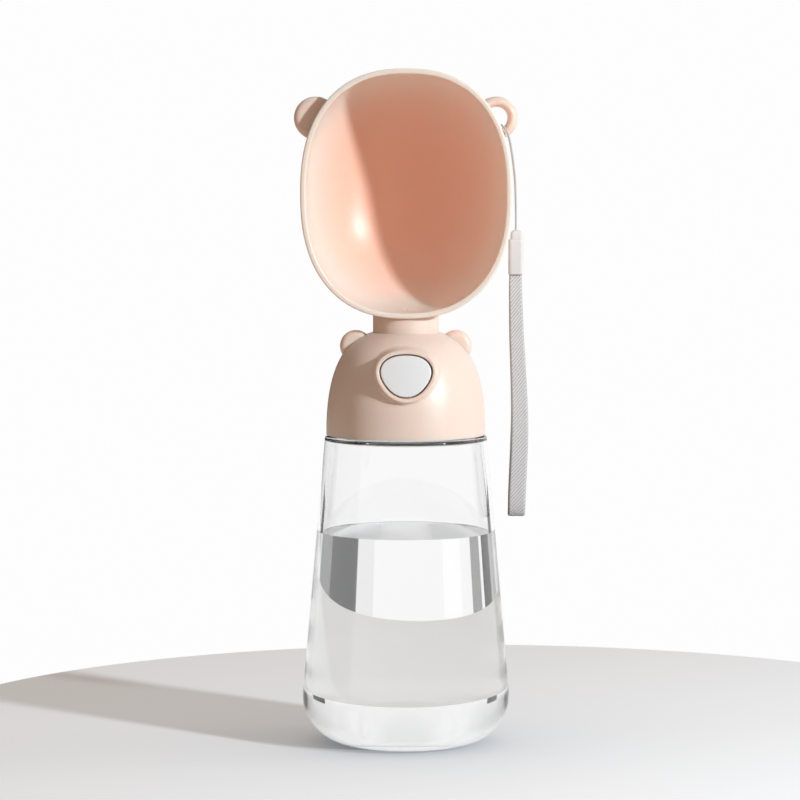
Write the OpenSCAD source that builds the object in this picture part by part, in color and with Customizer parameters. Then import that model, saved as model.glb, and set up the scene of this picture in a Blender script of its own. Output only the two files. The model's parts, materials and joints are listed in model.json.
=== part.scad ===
// Dog travel water bottle: a clear bottle, a screw cap with a press-to-pour
// valve behind a nose-shaped button, a lift-off drinking bowl and a lanyard.
// Millimetres, +Z up, the button and the bowl face -Y, origin under the base.

/* [Bottle] */
// Largest radius, low on the tapered wall
bottle_r = 38.4; // [37:0.1:40]
// Radius of the wall where it meets the cap
shoulder_r = 30.1; // [29.6:0.1:32]
// Height of the shoulder that the cap sits on
shoulder_z = 114.8; // [100:0.1:130]
// Radius of the rounding round the base
base_round = 18; // [14:0.5:19]
// Thickness of the wall
wall = 2.2; // [1.8:0.1:2.8]
// Thickness of the floor
floor_t = 5; // [3:0.5:9]
// Outside radius of the threaded neck
neck_r = 22.8; // [22:0.1:23]
// Height of the neck above the shoulder
neck_h = 10.8; // [10:0.1:11]

/* [Cap] */
// Radius of the cap's open edge
cap_r = 29.5; // [29.3:0.1:30]
// Height of the cap from its edge to the middle of its crown
cap_h = 38.8; // [38:0.1:40]
// Thickness of the cap's outer wall
cap_wall = 2.1; // [1.8:0.1:2.4]
// Rise of the screw thread in one turn
pitch = 4; // [3.6:0.1:4.4]
// Radius of the small ears on the cap
cap_ear_r = 5.9; // [5:0.1:7]

/* [Button and valve] */
// Width of the nose-shaped button
nose_w = 18.2; // [17:0.1:19]
// Height of the nose-shaped button
nose_h = 15; // [14.6:0.1:16]
// Gap all round the button
nose_gap = 0.5; // [0.3:0.05:0.5]
// Width of the raised frame round the button
bezel_w = 1.5; // [1.1:0.1:1.8]
// Travel of the button
press = 2.5; // [1.5:0.1:2.8]
// Radius of the valve stem
stem_r = 2; // [1.8:0.1:2.1]
// Outside radius of the valve's barrel
barrel_r = 6.4; // [6.2:0.1:6.6]

/* [Bowl] */
// Half of the bowl's width
bowl_a = 38.7; // [36:0.1:38.8]
// Half of the bowl's height
bowl_b = 45.7; // [44:0.1:46]
// Depth of the bowl from lip to back
bowl_d = 48; // [42:0.5:50]
// Height of the bowl's middle
bowl_z = 204.4; // [204:0.1:208]
// Thickness of the bowl's wall
bowl_wall = 2; // [1.6:0.1:2.4]
// Outside radius of the bowl's neck
stalk_r = 12.2; // [11.6:0.1:12.4]
// Radius of the ears on the bowl
ear_r = 7.9; // [7.6:0.1:8.5]
// Thickness of the solid ear
solid_ear_t = 11; // [6:0.2:14]
// Thickness of the ear that is a ring
ring_ear_t = 6; // [5:0.5:7]
// Radius of the hole in the ear that holds the lanyard
eye_r = 4.1; // [3.8:0.1:4.4]

/* [Lanyard] */
// Diameter of the thin cord
cord_d = 0.7; // [0.5:0.1:0.8]
// Width of the woven strap
strap_w = 6.3; // [5:0.1:7]
// Width of the strap where the clamp gathers it
strap_gathered = 4.6; // [4:0.1:6]
// Thickness of the woven strap
strap_t = 0.8; // [0.6:0.1:0.9]

/* [Hidden] */

$fn = 96;
tiny = 0.01;
past = 1;                                  // how far a cutter runs past a face

// bottle
taper = atan((bottle_r - shoulder_r) / (shoulder_z - base_round));
foot_r = bottle_r - base_round;
mouth_z = shoulder_z + neck_h;
bore_r = neck_r - wall;
inner_round = base_round - 3;
shoulder_round = 1.2;
shoulder_t = 1.4;
inner_corner = 1;                          // rounding inside the shoulder
mouth_round = 0.5;
punt_h = 1.2;                              // hollow under the base
punt_r = foot_r - 2;

// thread
ridge_h = 1.2;
ridge_root_w = 1.6;
ridge_crest_w = 0.8;
ridge_turns = 0.94;
ridge_z = shoulder_z + 4.4;
thread_gap = 0.3;

// cap
edge_z = shoulder_z + 0.4;
cap_top_z = edge_z + cap_h;
insert_r = 26.5;
insert_bore = neck_r + ridge_h + thread_gap;
insert_z = edge_z + 0.8;
plate_z = mouth_z + 1.6;                   // underside of the insert's plate
plate_t = 2;
plate_top = plate_z + plate_t;
stalk_gap = 0.1;
collar_r = stalk_r + stalk_gap + 2.2;
collar_z = 145.9;
collar_top = 151;
side_power = 3.3;                          // how straight the cap's side is
crown_power = 2.35;                        // how flat its crown is
cap_ear_x = 18.5;
cap_ear_y = -0.5;
cap_ear_z = 147.9;
cap_ear_t = 6;
ear_round = 2.2;                           // rounding of an ear's edge
boss_x = 11;
boss_r = 3.2;
boss_top = plate_top + 4.4;

// button and valve
nose_z = 139;
nose_lobes = 0.058;                        // how far its outline leaves an ellipse
nose_back_y = -14;
nose_front_y = -36;
nose_tilt = 14;                            // the button's face leans back
face_y = -28.4;                            // front of the frame, at the button's middle
face_crown = 70;                           // radius of the button's slightly domed face
face_proud = 0.1;
valve_z = 139;
seat_y = 5;
chamber_end = 17;
flow_r = 3.4;
chamber_r = 4.8;
seal_t = 1.2;
head_t = 1.4;
plug_y = 14;
inlet_y = 10.5;
inlet_r = 3.8;
inlet_bore = 2.3;
inlet_hole_r = 5;
lip_t = 0.8;                               // lip of the inlet's grommet
riser_r = 5;
riser_top = 149.5;
riser_bore = 2.4;
riser_floor = 142.5;                       // where the bowl's tube stops
riser_seat = 2;                            // its O-ring's groove, above that floor
riser_seat_h = 1.5;
riser_seat_d = 1;
riser_ring = 0.5;                          // O-ring sections, as radii
plug_ring = 0.55;
gland_y = 1.2;                             // the stem O-ring's groove in the barrel
gland_w = 1.4;
gland_end = 3.8;
plug_groove = 1;
plug_head_t = 1.6;
plug_slot = [8, 1.6, 1.2];
screw_slot = [2.6, 0.6, 1.4];
stem_tip_r = 2.2;
stem_tip_t = 0.8;
neck_ring = 0.47;
tube_r = 3.2;
tube_bore = 1.5;
fit_gap = 0.06;                            // running fits
flange_y = -18.6;
flange_t = 1.2;
flange_grow = 1.2;
flange_gap = 0.3;                          // between the flange and the cap's wall
clip_y = flange_y + flange_t;
clip_t = 0.6;
press_room = 1.3;
barrel_y = clip_y + clip_t + press + press_room;  // front of the barrel, clear of the pressed button
stem_y = -25;
button_shell = 1.6;
hub_r = 3.6;
spring_r = 3.1;
spring_wire = 0.5;
spring_turns = 5;
lug_t = 2.2;
screw_r = 1.2;
screw_head_r = 2.2;
screw_head_t = 1.4;

// bowl
lip_y = -14;
bowl_power = 2.37;                         // roundness of the bowl seen from the front
depth_power = 2.6;                         // roundness of the bowl seen from the side
bowl_segments = 64;
bowl_rings = 10;
lip_round = 0.6;
stalk_z = collar_z + 0.3;
stalk_wall = 1.8;
stalk_top = 165;                           // inside the bowl's floor
stalk_hollow_top = 158.2;
ring_groove_z = 1.9;                       // above the stalk's end
ring_groove_h = 1.6;
ring_groove_d = 0.9;
spout_r = 0.8;                             // hole in the bowl's floor
spout_z = 160.2;
ear_x = 33.2;
ear_z = 232;
ear_y = -2.7;
eye_lip = 0.3;                             // how much of the ring's section the eye cuts away

// lanyard
crimp_x = 40.5;
crimp_w = 5.6;
crimp_t = 4;
crimp_z0 = 174.5;
crimp_z1 = 190.8;
gather_l = 60;                             // length over which the strap widens
crimp_corner = 2;
crimp_edge = 1.4;
// up behind the ring, through its hole, and down in front of it
cord_route = [
    [40.5, -2.2, 187.0], [40.5, -2.0, 191.0], [40.5, -1.5, 196.0], [40.4, -0.8, 202.0],
    [40.2, 0.0, 208.0], [39.7, 0.7, 213.5], [39.0, 1.1, 219.0], [38.2, 1.2, 223.5],
    [37.3, 1.2, 226.6], [36.2, 1.3, 228.3], [35.5, 0.9, 229.1], [35.2, -0.2, 229.4],
    [35.2, -2.7, 229.4], [35.2, -5.2, 229.4], [35.5, -6.3, 229.1], [36.2, -6.7, 228.3],
    [37.3, -6.6, 226.6], [38.2, -6.6, 223.5], [39.0, -6.5, 219.0], [39.7, -6.1, 213.5],
    [40.2, -5.4, 208.0], [40.4, -4.6, 202.0], [40.5, -3.9, 196.0], [40.5, -3.4, 191.0],
    [40.5, -3.2, 187.0]];
// down the back of the strap's loop, round its fold, and up the front
strap_route = [
    [40.4, -2.2, 174.5], [40.4, -2.2, 173.0], [40.4, -1.5, 168.4], [40.6, -0.5, 160.3],
    [40.9, 0.4, 150.2], [41.4, 1.1, 140.1], [41.8, 1.6, 130.0], [42.0, 1.9, 120.0],
    [41.8, 2.0, 109.9], [41.4, 1.9, 100.3], [41.1, 1.5, 92.7], [41.0, 0.6, 88.3],
    [40.9, -0.9, 85.9], [40.9, -2.7, 85.3], [40.9, -4.5, 85.9], [41.0, -6.0, 88.3],
    [41.1, -6.9, 92.7], [41.4, -7.3, 100.3], [41.8, -7.4, 109.9], [42.0, -7.3, 120.0],
    [41.8, -7.0, 130.0], [41.4, -6.5, 140.1], [40.9, -5.8, 150.2], [40.6, -4.9, 160.3],
    [40.4, -3.9, 168.4], [40.4, -3.2, 173.0], [40.4, -3.2, 174.5]];

pink = [0.96, 0.80, 0.72];
clear = [0.85, 0.92, 0.95, 0.35];
white = [0.93, 0.93, 0.92];
silicone = [0.88, 0.90, 0.90];
steel = [0.72, 0.73, 0.75];
grey = [0.78, 0.78, 0.77];

// ---- shared shapes -------------------------------------------------------

// points along an arc in the plane of a profile
function arc(c, r, a0, a1, n) =
    [for (i = [0:n]) let (a = a0 + (a1 - a0) * i / n) [c[0] + r * cos(a), c[1] + r * sin(a)]];

// a power that keeps the sign of its base
function signed_pow(v, p) = sign(v) * pow(abs(v), p);

// a cylinder along Y, from y0 to y1
module rod_y(r, y0, y1, x = 0, z = valve_z) {
    translate([x, y0, z])
        rotate([-90, 0, 0])
            cylinder(r = r, h = y1 - y0);
}

// a ring of round section about Z
module ring_z(r, minor, z) {
    translate([0, 0, z])
        rotate_extrude()
            translate([r, 0])
                circle(r = minor, $fn = 24);
}

// a ring of round section about the valve's axis
module ring_y(r, minor, y) {
    translate([0, y, valve_z])
        rotate([-90, 0, 0])
            ring_z(r, minor, 0);
}

// the faces of a skin over rings of equal size, closed at both ends
function skin_faces(rings, sides) = concat(
    [[for (j = [sides - 1:-1:0]) j]],
    [for (i = [0:rings - 2], j = [0:sides - 1])
        [i * sides + j, i * sides + (j + 1) % sides, (i + 1) * sides + (j + 1) % sides]],
    [for (i = [0:rings - 2], j = [0:sides - 1])
        [i * sides + j, (i + 1) * sides + (j + 1) % sides, (i + 1) * sides + j]],
    [[for (j = [0:sides - 1]) (rings - 1) * sides + j]]);

// a screw ridge that fades out at both ends
module thread_ridge(root_r, crest_r, z0) {
    steps = 40;
    fade = 4;
    rings = [for (i = [0:steps])
        let (a = 360 * ridge_turns * i / steps,
             z = z0 + pitch * ridge_turns * i / steps,
             k = min(1, (i + 0.2) / fade, (steps - i + 0.2) / fade),
             top = root_r + (crest_r - root_r) * k,
             w = ridge_crest_w / 2)
        for (p = [[root_r, -ridge_root_w / 2], [top, -w], [top, w], [root_r, ridge_root_w / 2]])
            [p[0] * cos(a), p[0] * sin(a), z + p[1]]];
    flip = crest_r < root_r;
    faces = skin_faces(steps + 1, 4);
    polyhedron(rings, flip ? [for (f = faces) [for (j = [len(f) - 1:-1:0]) f[j]]] : faces);
}

// ---- bottle --------------------------------------------------------------

module bottle_profile() {
    corner = [foot_r, base_round];
    inner = [bottle_r - wall - inner_round, floor_t + inner_round];
    top_r = bottle_r - (shoulder_z - base_round) * tan(taper);
    difference() {
        polygon(concat(
            [[0, 0]],
            arc(corner, base_round, -90, taper, 18),
            arc([top_r - shoulder_round, shoulder_z - shoulder_round], shoulder_round, 10, 90, 5),
            [[neck_r, shoulder_z], [neck_r, mouth_z - mouth_round], [neck_r - mouth_round, mouth_z], [0, mouth_z]]));
        polygon(concat(
            [[0, floor_t]],
            arc(inner, inner_round, -90, taper, 14),
            arc([top_r - wall - inner_corner, shoulder_z - shoulder_t - inner_corner], inner_corner, 10, 90, 4),
            [[bore_r, shoulder_z - shoulder_t], [bore_r, mouth_z + past], [0, mouth_z + past]]));
    }
}

module bottle() {
    punt_sphere = (punt_r * punt_r + punt_h * punt_h) / (2 * punt_h);
    color(clear) {
        difference() {
            rotate_extrude()
                bottle_profile();
            translate([0, 0, punt_h - punt_sphere])
                sphere(r = punt_sphere);
        }
        thread_ridge(neck_r - 0.3, neck_r + ridge_h, ridge_z);
    }
}

module bottle_seal() {
    color(silicone)
        translate([0, 0, mouth_z])
            rotate_extrude()
                difference() {
                    translate([bore_r + 0.2, 0])
                        square([insert_bore - bore_r - 0.5, plate_z - mouth_z]);
                    translate([insert_bore - 0.3, (plate_z - mouth_z) / 2])
                        circle(r = 0.5, $fn = 24);
                }
}

// ---- cap -----------------------------------------------------------------

module thread_insert() {
    color(white)
        difference() {
            union() {
                difference() {
                    translate([0, 0, insert_z])
                        cylinder(r = insert_r, h = plate_top - insert_z);
                    translate([0, 0, insert_z - past])
                        cylinder(r = insert_bore, h = plate_z - insert_z + past);
                }
                for (side = [-1, 1])
                    translate([side * boss_x, 0, plate_top - tiny])
                        cylinder(r = boss_r, h = boss_top - plate_top + tiny);
                thread_ridge(insert_bore + 0.3, neck_r + thread_gap, ridge_z - pitch / 2);
            }
            translate([0, inlet_y, plate_z - past])
                cylinder(r = inlet_hole_r, h = plate_t + 2 * past);
            for (side = [-1, 1])
                translate([side * boss_x, 0, plate_top - 0.4])
                    cylinder(r = screw_r, h = boss_top - plate_top + past, $fn = 48);
        }
}

// outline of the cap, moved inwards by a wall
function cap_outline(inset) =
    [for (i = [0:23])
        let (t = 90 * i / 24)
        [(cap_r - inset) * pow(cos(t), 2 / side_power),
         edge_z + (cap_h - inset) * pow(sin(t), 2 / crown_power)]];

module cap_solid(inset, z_low) {
    rotate_extrude()
        polygon(concat(
            [[0, z_low], [cap_r - inset, z_low]],
            [for (p = cap_outline(inset)) if (p[1] > edge_z + tiny) p],
            [[0, cap_top_z - inset]]));
}

// outline of the nose, seen from the front, about its own middle
function nose_outline(grow) =
    [for (i = [0:59])
        let (a = i * 6,
             r = 1 + nose_lobes * cos(3 * (a - 30)))
        [(nose_w / 2 * r + grow) * cos(a), (nose_h / 2 * r + grow) * sin(a)]];

// the nose's prism along Y
module nose_prism(grow, y0, y1) {
    translate([0, y1, nose_z])
        rotate([90, 0, 0])
            linear_extrude(height = y1 - y0)
                polygon(nose_outline(grow));
}

// everything in front of the leaning face
module before_face(y) {
    translate([0, y, nose_z])
        rotate([-nose_tilt, 0, 0])
            translate([-20, -20, -20])
                cube([40, 20, 40]);
}

// a flat round ear about Z, with a rounded edge
module disc_ear(r, t) {
    rotate_extrude()
        polygon(concat(
            [[0, -t / 2]],
            arc([r - ear_round, ear_round - t / 2], ear_round, -90, 0, 8),
            arc([r - ear_round, t / 2 - ear_round], ear_round, 0, 90, 8),
            [[0, t / 2]]));
}

module cap_ear(side) {
    translate([side * cap_ear_x, cap_ear_y, cap_ear_z])
        rotate([90, 0, 0])
            disc_ear(cap_ear_r, cap_ear_t);
}

module dome_shell() {
    color(pink)
        difference() {
            union() {
                difference() {
                    union() {
                        cap_solid(0, edge_z);
                        difference() {
                            nose_prism(nose_gap + bezel_w, nose_front_y, flange_y);
                            before_face(face_y);
                        }
                        for (side = [-1, 1])
                            cap_ear(side);
                    }
                    cap_solid(cap_wall, edge_z - past);
                }
                translate([0, 0, collar_z])
                    cylinder(r = collar_r, h = collar_top - collar_z);
            }
            translate([0, 0, edge_z - past])
                cylinder(r = insert_r, h = plate_top - edge_z + past);
            nose_prism(nose_gap, nose_front_y - past, nose_back_y);
            translate([0, 0, collar_z - past])
                cylinder(r = stalk_r + stalk_gap, h = 30);
        }
}

// ---- valve ---------------------------------------------------------------

module inlet_seal() {
    color(silicone)
        translate([0, inlet_y, plate_z])
            rotate_extrude()
                union() {
                    translate([inlet_r, 0])
                        square([inlet_hole_r - inlet_r, plate_t + lip_t]);
                    translate([inlet_r, plate_t])
                        square([inlet_hole_r - inlet_r + lip_t, lip_t]);
                }
}

module valve_body() {
    color(white)
        difference() {
            union() {
                rod_y(barrel_r, barrel_y, chamber_end);
                translate([0, inlet_y, plate_z - 0.4])
                    cylinder(r = inlet_r, h = valve_z - plate_z);
                translate([0, 0, valve_z])
                    cylinder(r = riser_r, h = riser_top - valve_z);
                for (side = [-1, 1]) {
                    translate([side * boss_x, 0, boss_top])
                        cylinder(r = boss_r, h = lug_t);
                    translate([min(0, side * boss_x), -boss_r, boss_top])
                        cube([boss_x, 2 * boss_r, lug_t]);
                }
            }
            rod_y(stem_r + fit_gap, barrel_y - past, seat_y);
            rod_y(flow_r, barrel_y + gland_y, barrel_y + gland_y + gland_w);
            rod_y(flow_r, barrel_y + gland_end, seat_y + tiny);
            rod_y(chamber_r, seat_y, chamber_end + past);
            translate([0, inlet_y, plate_z - past])
                cylinder(r = inlet_bore, h = valve_z - plate_z + past, $fn = 64);
            translate([0, 0, valve_z])
                cylinder(r = riser_bore, h = riser_top - valve_z, $fn = 64);
            translate([0, 0, riser_floor - 0.4])
                cylinder(r = tube_r + fit_gap, h = 20, $fn = 64);
            translate([0, 0, riser_floor + riser_seat])
                cylinder(r = tube_r + fit_gap + riser_seat_d, h = riser_seat_h, $fn = 64);
            for (side = [-1, 1])
                translate([side * boss_x, 0, boss_top - past])
                    cylinder(r = screw_r + 0.2, h = lug_t + 2 * past, $fn = 48);
        }
}

module valve_screws() {
    color(steel)
        for (side = [-1, 1])
            translate([side * boss_x, 0, 0])
                difference() {
                    union() {
                        translate([0, 0, plate_top])
                            cylinder(r = screw_r, h = boss_top + lug_t - plate_top, $fn = 48);
                        translate([0, 0, boss_top + lug_t])
                            cylinder(r = screw_head_r, h = screw_head_t, $fn = 48);
                    }
                    for (turn = [0, 90])
                        translate([0, 0, boss_top + lug_t + screw_head_t])
                            rotate([0, 0, turn])
                                cube(screw_slot, center = true);
                }
}

module valve_plug() {
    color(white)
        difference() {
            union() {
                rod_y(chamber_r, plug_y, chamber_end);
                rod_y(barrel_r, chamber_end, chamber_end + plug_head_t);
            }
            difference() {
                rod_y(chamber_r + past, plug_y + plug_groove, plug_y + plug_groove + 2 * plug_ring);
                rod_y(chamber_r - 2 * plug_ring, plug_y, chamber_end);
            }
            translate([0, chamber_end + plug_head_t, valve_z])
                cube(plug_slot, center = true);
        }
}

module plug_o_ring() {
    color(silicone)
        ring_y(chamber_r - plug_ring, plug_ring, plug_y + plug_groove + plug_ring);
}

module stem_o_ring() {
    color(silicone)
        ring_y((flow_r + stem_r + fit_gap / 2) / 2, (flow_r - stem_r - fit_gap / 2) / 2,
               barrel_y + gland_y + gland_w / 2);
}

// the coil between the stem's head and the plug
module valve_spring() {
    steps = 16 * spring_turns;
    sides = 6;
    wire = spring_wire / 2;
    y0 = seat_y + seal_t + head_t + wire;
    y1 = plug_y - wire;
    rings = [for (i = [0:steps])
        let (a = 360 * spring_turns * i / steps,
             y = y0 + (y1 - y0) * i / steps)
        for (j = [0:sides - 1])
            let (b = 360 * j / sides,
                 r = spring_r + wire * cos(b))
            [r * cos(a), y + wire * sin(b), valve_z + r * sin(a)]];
    color(steel)
        polyhedron(rings, skin_faces(steps + 1, sides));
}

module riser_o_ring() {
    color(silicone)
        ring_z(tube_r + fit_gap + riser_ring - tiny, riser_ring,
               riser_floor + riser_seat + riser_seat_h / 2);
}

// ---- button and stem -----------------------------------------------------

module nose_button() {
    color(white)
        difference() {
            union() {
                intersection() {
                    nose_prism(0, nose_front_y, flange_y + flange_t);
                    translate([0, face_y - face_proud, nose_z])
                        rotate([-nose_tilt, 0, 0])
                            translate([0, face_crown, 0])
                                sphere(r = face_crown, $fn = 180);
                }
                intersection() {
                    nose_prism(flange_grow, flange_y, flange_y + flange_t);
                    cap_solid(cap_wall + flange_gap, edge_z);
                }
            }
            difference() {
                nose_prism(-button_shell, stem_y - past, 0);
                rod_y(hub_r, nose_front_y, 0);
            }
            rod_y(stem_r, stem_y, 0);
        }
}

module valve_stem() {
    color(steel)
        difference() {
            union() {
                rod_y(stem_r, stem_y, seat_y + seal_t);
                rod_y(chamber_r - 0.6, seat_y + seal_t, seat_y + seal_t + head_t);
                rod_y(stem_tip_r, seat_y + seal_t + head_t, seat_y + seal_t + head_t + stem_tip_t);
            }
            difference() {
                rod_y(stem_r + past, clip_y, clip_y + clip_t);
                rod_y(stem_r - 0.5, clip_y - past, clip_y + 2 * past);
            }
        }
}

module poppet_seal() {
    color(silicone)
        difference() {
            rod_y(chamber_r - 0.5, seat_y, seat_y + seal_t);
            rod_y(stem_r, seat_y - past, seat_y + seal_t + past);
        }
}

module stem_clip() {
    color(steel)
        difference() {
            rod_y(stem_r + 1.3, clip_y, clip_y + clip_t);
            rod_y(stem_r - 0.5, clip_y - past, clip_y + 2 * past);
            translate([-0.8, clip_y - past, valve_z - 5])
                cube([1.6, 3, 5]);
        }
}

// ---- bowl ----------------------------------------------------------------

// one ring of the bowl, seen from the front
function bowl_ring(a, b, y) =
    [for (i = [0:bowl_segments - 1])
        let (t = 360 * i / bowl_segments)
        [a * signed_pow(cos(t), 2 / bowl_power), y, bowl_z + b * signed_pow(sin(t), 2 / bowl_power)]];

// the bowl's rounded solid, moved inwards by a wall; flare opens its lip
module bowl_solid(inset, flare) {
    front = flare < 0 ? lip_y : lip_y - past;
    rings = concat(
        bowl_ring(bowl_a - inset + flare, bowl_b - inset + flare, front),
        flare < 0 ? [] : bowl_ring(bowl_a - inset + flare, bowl_b - inset + flare, lip_y),
        [for (i = [0:bowl_rings])
            let (f = 88 * i / bowl_rings,
                 s = pow(cos(f), 2 / depth_power),
                 y = lip_y + lip_round + (bowl_d - inset - lip_round) * pow(sin(f), 2 / depth_power))
            each bowl_ring((bowl_a - inset) * s, (bowl_b - inset) * s, y)]);
    polyhedron(rings, skin_faces(len(rings) / bowl_segments, bowl_segments));
}

module solid_ear() {
    translate([-ear_x, ear_y, ear_z])
        rotate([90, 0, 0])
            disc_ear(ear_r, solid_ear_t);
}

// an ellipse's outline
function ellipse(a, b, from, to) =
    [for (i = [0:24]) let (t = from + (to - from) * i / 24) [a * cos(t), b * sin(t)]];

// the ear that is a ring, with the cord's eye in it
module ring_ear() {
    half = (ear_r - eye_r + eye_lip) / 2;
    difference() {
        translate([ear_x, ear_y, ear_z])
            rotate([90, 0, 0])
                rotate_extrude()
                    translate([ear_r - half, 0])
                        polygon(ellipse(half, ring_ear_t / 2, 0, 345));
        rod_y(eye_r, ear_y - ring_ear_t, ear_y + ring_ear_t, ear_x, ear_z);
    }
}

module bowl() {
    color(pink)
        difference() {
            union() {
                bowl_solid(0, -lip_round);
                translate([0, 0, stalk_z])
                    cylinder(r = stalk_r, h = stalk_top - stalk_z);
                translate([0, 0, riser_floor])
                    cylinder(r = tube_r, h = stalk_top - riser_floor, $fn = 64);
                solid_ear();
                ring_ear();
            }
            bowl_solid(bowl_wall, lip_round);
            difference() {
                translate([0, 0, stalk_z - past])
                    cylinder(r = stalk_r - stalk_wall, h = stalk_hollow_top - stalk_z + past);
                translate([0, 0, riser_floor - past])
                    cylinder(r = tube_r, h = stalk_top - riser_floor, $fn = 64);
            }
            translate([0, 0, riser_floor - past])
                cylinder(r = tube_bore, h = spout_z - riser_floor + past, $fn = 48);
            translate([0, 0, riser_floor])
                cylinder(r = spout_r, h = 30, $fn = 48);
            difference() {
                translate([0, 0, stalk_z + ring_groove_z])
                    cylinder(r = stalk_r + past, h = ring_groove_h);
                translate([0, 0, stalk_z + ring_groove_z - past])
                    cylinder(r = stalk_r - ring_groove_d, h = ring_groove_h + 2 * past);
            }
        }
}

module neck_o_ring() {
    color(silicone)
        ring_z(stalk_r + stalk_gap / 2 - neck_ring, neck_ring,
               stalk_z + ring_groove_z + ring_groove_h / 2);
}

// ---- lanyard -------------------------------------------------------------

// the direction of a route at one of its points
function heading(route, i) =
    let (d = route[min(i + 1, len(route) - 1)] - route[max(i - 1, 0)])
    d / norm(d);

// a rectangle or a round section swept along a route; 'across' is its sideways axis,
// and 'share' is how much of its width it has at each point
module sweep(route, section, across, share = []) {
    sides = len(section);
    rings = [for (i = [0:len(route) - 1])
        let (t = heading(route, i),
             s = across - t * (across * t),
             side = s / norm(s),
             up = cross(t, side),
             w = len(share) > 0 ? share[i] : 1)
        for (p = section)
            route[i] + side * p[0] * w + up * p[1]];
    polyhedron(rings, skin_faces(len(route), sides));
}

// a smooth curve through a route's points
function smooth(route, n) =
    let (last = len(route) - 1)
    concat(
        [for (i = [0:last - 1], k = [0:n - 1])
            let (a = route[max(i - 1, 0)],
                 b = route[i],
                 c = route[i + 1],
                 d = route[min(i + 2, last)],
                 t = k / n)
            0.5 * (2 * b + (c - a) * t + (2 * a - 5 * b + 4 * c - d) * t * t
                   + (3 * b - a - 3 * c + d) * t * t * t)],
        [route[last]]);

module lanyard_cord() {
    color(grey)
        sweep(smooth(cord_route, 3),
              [for (j = [0:7]) [cos(45 * j), sin(45 * j)] * cord_d / 2],
              [1, 0, 0.3]);
}

module crimp_side(w, h, r) {
    union() {
        translate([-w / 2, 0])
            square([w, h - r]);
        translate([-w / 2 + r, 0])
            square([w - 2 * r, h]);
        for (edge = [-1, 1])
            translate([edge * (w / 2 - r), h - r])
                circle(r = r, $fn = 32);
    }
}

module lanyard_crimp() {
    crimp_h = crimp_z1 - crimp_z0;
    color(white)
        intersection() {
            translate([crimp_x, ear_y + crimp_t, crimp_z0])
                rotate([90, 0, 0])
                    linear_extrude(height = 2 * crimp_t)
                        crimp_side(crimp_w, crimp_h, crimp_corner);
            translate([crimp_x - crimp_w, ear_y, crimp_z0])
                rotate([90, 0, 90])
                    linear_extrude(height = 2 * crimp_w)
                        crimp_side(crimp_t, crimp_h, crimp_edge);
        }
}

module lanyard_strap() {
    route = smooth(strap_route, 2);
    spread = (strap_w - strap_gathered) / gather_l;
    color(grey)
        sweep(route,
              [[-strap_w / 2, -strap_t / 2], [strap_w / 2, -strap_t / 2],
               [strap_w / 2, strap_t / 2], [-strap_w / 2, strap_t / 2]],
              [1, 0, 0],
              [for (p = route) min(1, (strap_gathered + spread * (crimp_z0 - p[2])) / strap_w)]);
}

// ---- nodes ---------------------------------------------------------------

bottle();
bottle_seal();
thread_insert();
dome_shell();
inlet_seal();
valve_body();
valve_screws();
valve_plug();
plug_o_ring();
stem_o_ring();
valve_spring();
riser_o_ring();
nose_button();
valve_stem();
poppet_seal();
stem_clip();
bowl();
neck_o_ring();
lanyard_cord();
lanyard_crimp();
lanyard_strap();
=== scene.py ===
import json
import math

import bmesh
import bpy
from mathutils import Matrix, Vector


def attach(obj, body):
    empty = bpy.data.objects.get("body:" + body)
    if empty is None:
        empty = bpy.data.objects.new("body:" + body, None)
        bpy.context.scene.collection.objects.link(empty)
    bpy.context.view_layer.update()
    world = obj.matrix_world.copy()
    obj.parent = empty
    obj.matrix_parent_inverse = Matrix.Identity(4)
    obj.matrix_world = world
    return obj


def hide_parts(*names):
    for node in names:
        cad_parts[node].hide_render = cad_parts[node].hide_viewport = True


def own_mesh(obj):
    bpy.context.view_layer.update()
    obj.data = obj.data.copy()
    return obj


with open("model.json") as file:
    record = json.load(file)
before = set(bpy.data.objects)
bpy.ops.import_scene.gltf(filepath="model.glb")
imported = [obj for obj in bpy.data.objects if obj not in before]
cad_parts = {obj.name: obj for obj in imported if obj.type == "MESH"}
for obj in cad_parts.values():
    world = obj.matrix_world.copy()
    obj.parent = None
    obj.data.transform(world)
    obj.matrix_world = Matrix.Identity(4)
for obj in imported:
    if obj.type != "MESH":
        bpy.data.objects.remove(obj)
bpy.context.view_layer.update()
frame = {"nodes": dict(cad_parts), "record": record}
nodes = frame["nodes"]
scene = bpy.context.scene
mm = 0.001
weldDist = 0.002 * mm  # points closer than this become one
poleDist = 0.0005 * mm  # the same, where a ring closes or shrinks to a point


# camera

cameraSet = {"distance": 1.4, "height": 0.238, "left": 0.0022, "lens": 170.6, "pitch": 4.5,
             "sensor": 36, "near": 0.05, "far": 20}


def makeCamera():
    s = cameraSet
    camera = bpy.data.objects.new("camera", bpy.data.cameras.new("camera"))
    scene.collection.objects.link(camera)
    camera.location = (-s["left"], -s["distance"], s["height"])
    camera.rotation_euler = (math.radians(90 - s["pitch"]), 0, 0)
    camera.data.lens = s["lens"]
    camera.data.sensor_width = s["sensor"]
    camera.data.clip_start = s["near"]
    camera.data.clip_end = s["far"]
    scene.camera = camera


makeCamera()
print("camera made")


# shared helpers

def addObject(name, data, body, slot, *materials):
    made = bpy.data.objects.new(name, data)
    scene.collection.objects.link(made)
    for material in materials:
        data.materials.append(material)
    if body:
        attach(made, body)
    return made


def meshOf(bm, name="work", weld=weldDist):
    bmesh.ops.remove_doubles(bm, verts=bm.verts, dist=weld)
    bmesh.ops.recalc_face_normals(bm, faces=bm.faces)
    mesh = bpy.data.meshes.new(name)
    bm.to_mesh(mesh)
    bm.free()
    return mesh


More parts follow.
